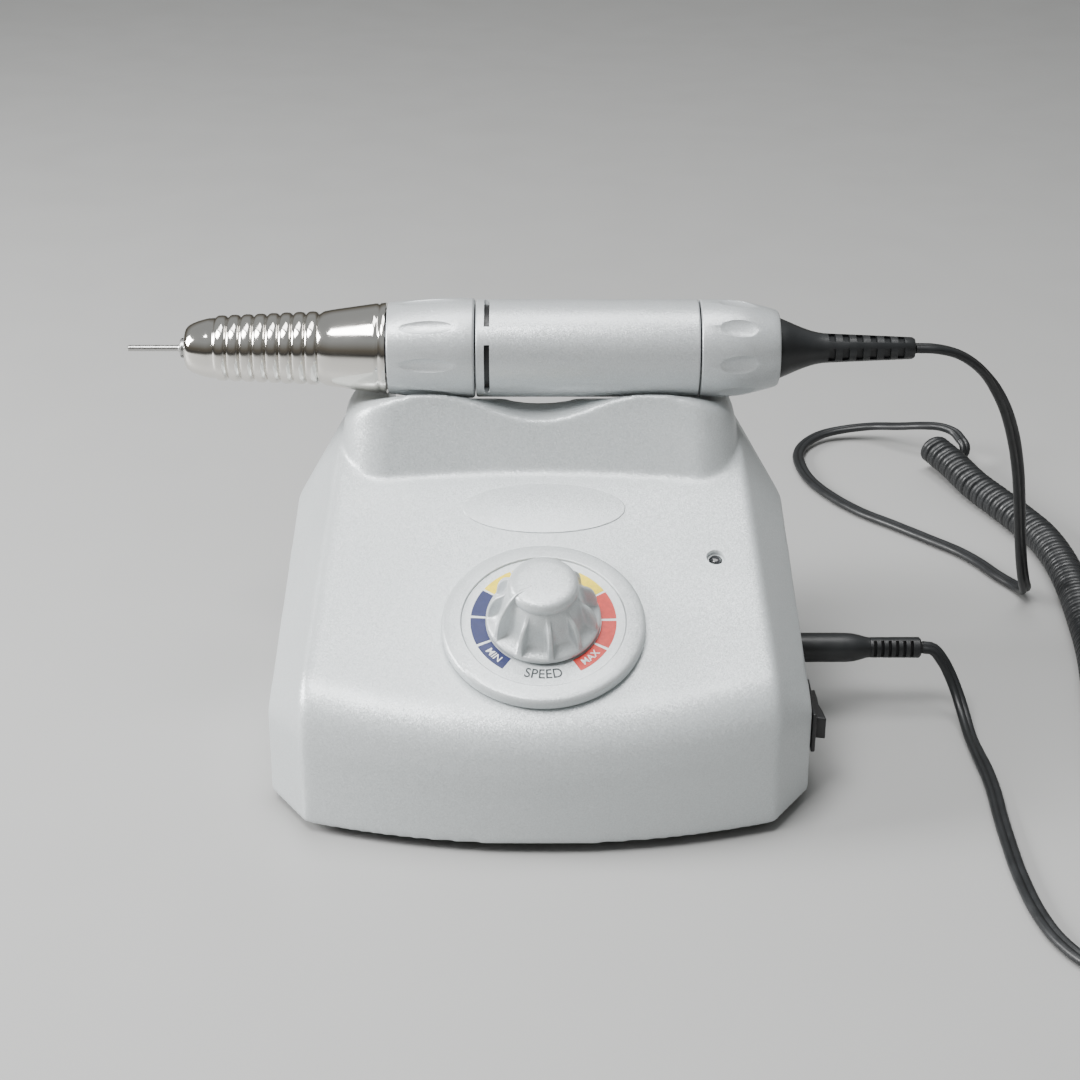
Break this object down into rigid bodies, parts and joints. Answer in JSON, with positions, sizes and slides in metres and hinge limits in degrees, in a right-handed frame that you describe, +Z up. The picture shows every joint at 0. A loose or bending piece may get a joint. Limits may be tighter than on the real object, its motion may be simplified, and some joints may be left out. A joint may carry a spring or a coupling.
{
  "type": "electric nail drill",
  "caption": "Desktop electric nail drill: sloped control box with speed dial and rocker switch, and a corded motor handpiece lying in the cradle on top.",
  "frame": {"origin": "on the surface the feet stand on, at the centre of the bounding box of the box and handpiece, free cord left out", "axes": "+X along the handpiece towards its cord end, +Y from the sloping front to the rear, +Z up"},
  "size_m": [0.2854, 0.3211, 0.1119],
  "materials": {
    "pearl_housing": "fine pearl sparkle, satin",
    "dial_plate": "satin pearl plastic",
    "dial_label": "printed speed scale on pale grey",
    "knob": "satin pearl plastic",
    "handpiece_grey": "satin metallic grey",
    "chrome": "polished",
    "steel": "ground",
    "aluminium": "machined",
    "black_plastic": "fine moulded grain",
    "cord_rubber": "satin dark grey",
    "foot_rubber": "matt black",
    "led": "dark clear lens",
    "copper": "wound copper",
    "iron": "laminated steel",
    "magnet": "sintered ferrite",
    "board": "green circuit board",
    "carbon": "pressed carbon",
    "brass": "turned brass"
  },
  "bodies": {
    "control_unit": {"upper_housing": "pearl_housing", "base_cover": "black_plastic", "rubber_foot_1": "foot_rubber", "rubber_foot_2": "foot_rubber", "rubber_foot_3": "foot_rubber", "rubber_foot_4": "foot_rubber", "base_screw_1": "steel", "base_screw_2": "steel", "base_screw_3": "steel", "base_screw_4": "steel", "switch_body": "black_plastic", "jack_socket": "black_plastic", "mains_inlet": "black_plastic", "transformer_core": "iron", "transformer_winding": "copper", "control_board": "board", "smoothing_capacitor": "black_plastic", "heat_sink": "aluminium", "power_transistor": "carbon", "indicator_led": "led", "led_sleeve": "black_plastic", "dial_plate": "dial_plate", "dial_scale": "dial_label", "potentiometer": "aluminium", "potentiometer_nut": "steel", "handpiece_lead_loop": "cord_rubber", "coiled_cord": "cord_rubber", "plug_lead_table": "cord_rubber"},
    "knob": {"speed_knob": "knob", "potentiometer_shaft": "aluminium"},
    "switch_paddle": {"switch_rocker": "black_plastic"},
    "jack_plug": {"plug_grip": "cord_rubber", "plug_boot": "cord_rubber", "plug_pin": "steel", "plug_lead_dropping": "cord_rubber"},
    "handpiece": {"front_housing": "handpiece_grey", "barrel": "handpiece_grey", "rear_cap": "handpiece_grey", "strain_relief": "cord_rubber", "handpiece_lead_hanging": "cord_rubber", "spindle_carrier": "aluminium", "front_bearing": "steel", "middle_bearing": "steel", "collet_spring": "steel", "motor_can": "aluminium", "magnet_upper": "magnet", "magnet_lower": "magnet", "brush_upper": "carbon", "brush_lower": "carbon", "motor_end_bell": "black_plastic", "rear_bearing": "steel"},
    "collar": {"twist_collar": "chrome"},
    "lock": {"lock_sleeve": "brass"},
    "spindle_assembly": {"spindle": "steel", "collet": "steel", "drive_coupling": "brass", "cooling_fan": "black_plastic", "armature": "iron", "commutator": "copper"},
    "bit": {"bit_shank": "steel"}
  },
  "joints": [
    {"name": "handpiece_lift", "type": "slide", "parent": "control_unit", "child": "handpiece", "axis": [0, 0, 1], "range_m": [0, 0.05]},
    {"name": "collar_twist", "type": "hinge", "parent": "handpiece", "child": "collar", "pos_m": [-0.06475, 0.04415, 0.098], "axis": [1, 0, 0], "range_deg": [0, 60]},
    {"name": "lock_slide", "type": "slide", "parent": "handpiece", "child": "lock", "axis": [-1, 0, 0], "range_m": [0, 0.00125]},
    {"name": "spindle_spin", "type": "hinge", "parent": "handpiece", "child": "spindle_assembly", "pos_m": [-0.01475, 0.04415, 0.098], "axis": [1, 0, 0], "continuous": true},
    {"name": "bit_pull", "type": "slide", "parent": "spindle_assembly", "child": "bit", "axis": [-1, 0, 0], "range_m": [0, 0.03]},
    {"name": "knob_turn", "type": "hinge", "parent": "control_unit", "child": "knob", "pos_m": [0.00615, -0.02585, 0.04727], "axis": [0, -0.3778, 0.9259], "range_deg": [-268, 22]},
    {"name": "switch_rock", "type": "hinge", "parent": "control_unit", "child": "switch_paddle", "pos_m": [0.07295, -0.02245, 0.0195], "axis": [0, 0, 1], "range_deg": [-10, 0]},
    {"name": "plug_pull", "type": "slide", "parent": "control_unit", "child": "jack_plug", "axis": [1, 0, 0], "range_m": [0, 0.02]}
  ],
  "couplings": [
    {"joint": "lock_slide", "follows": "collar_twist", "m_per_rad": 0.001146}
  ]
}
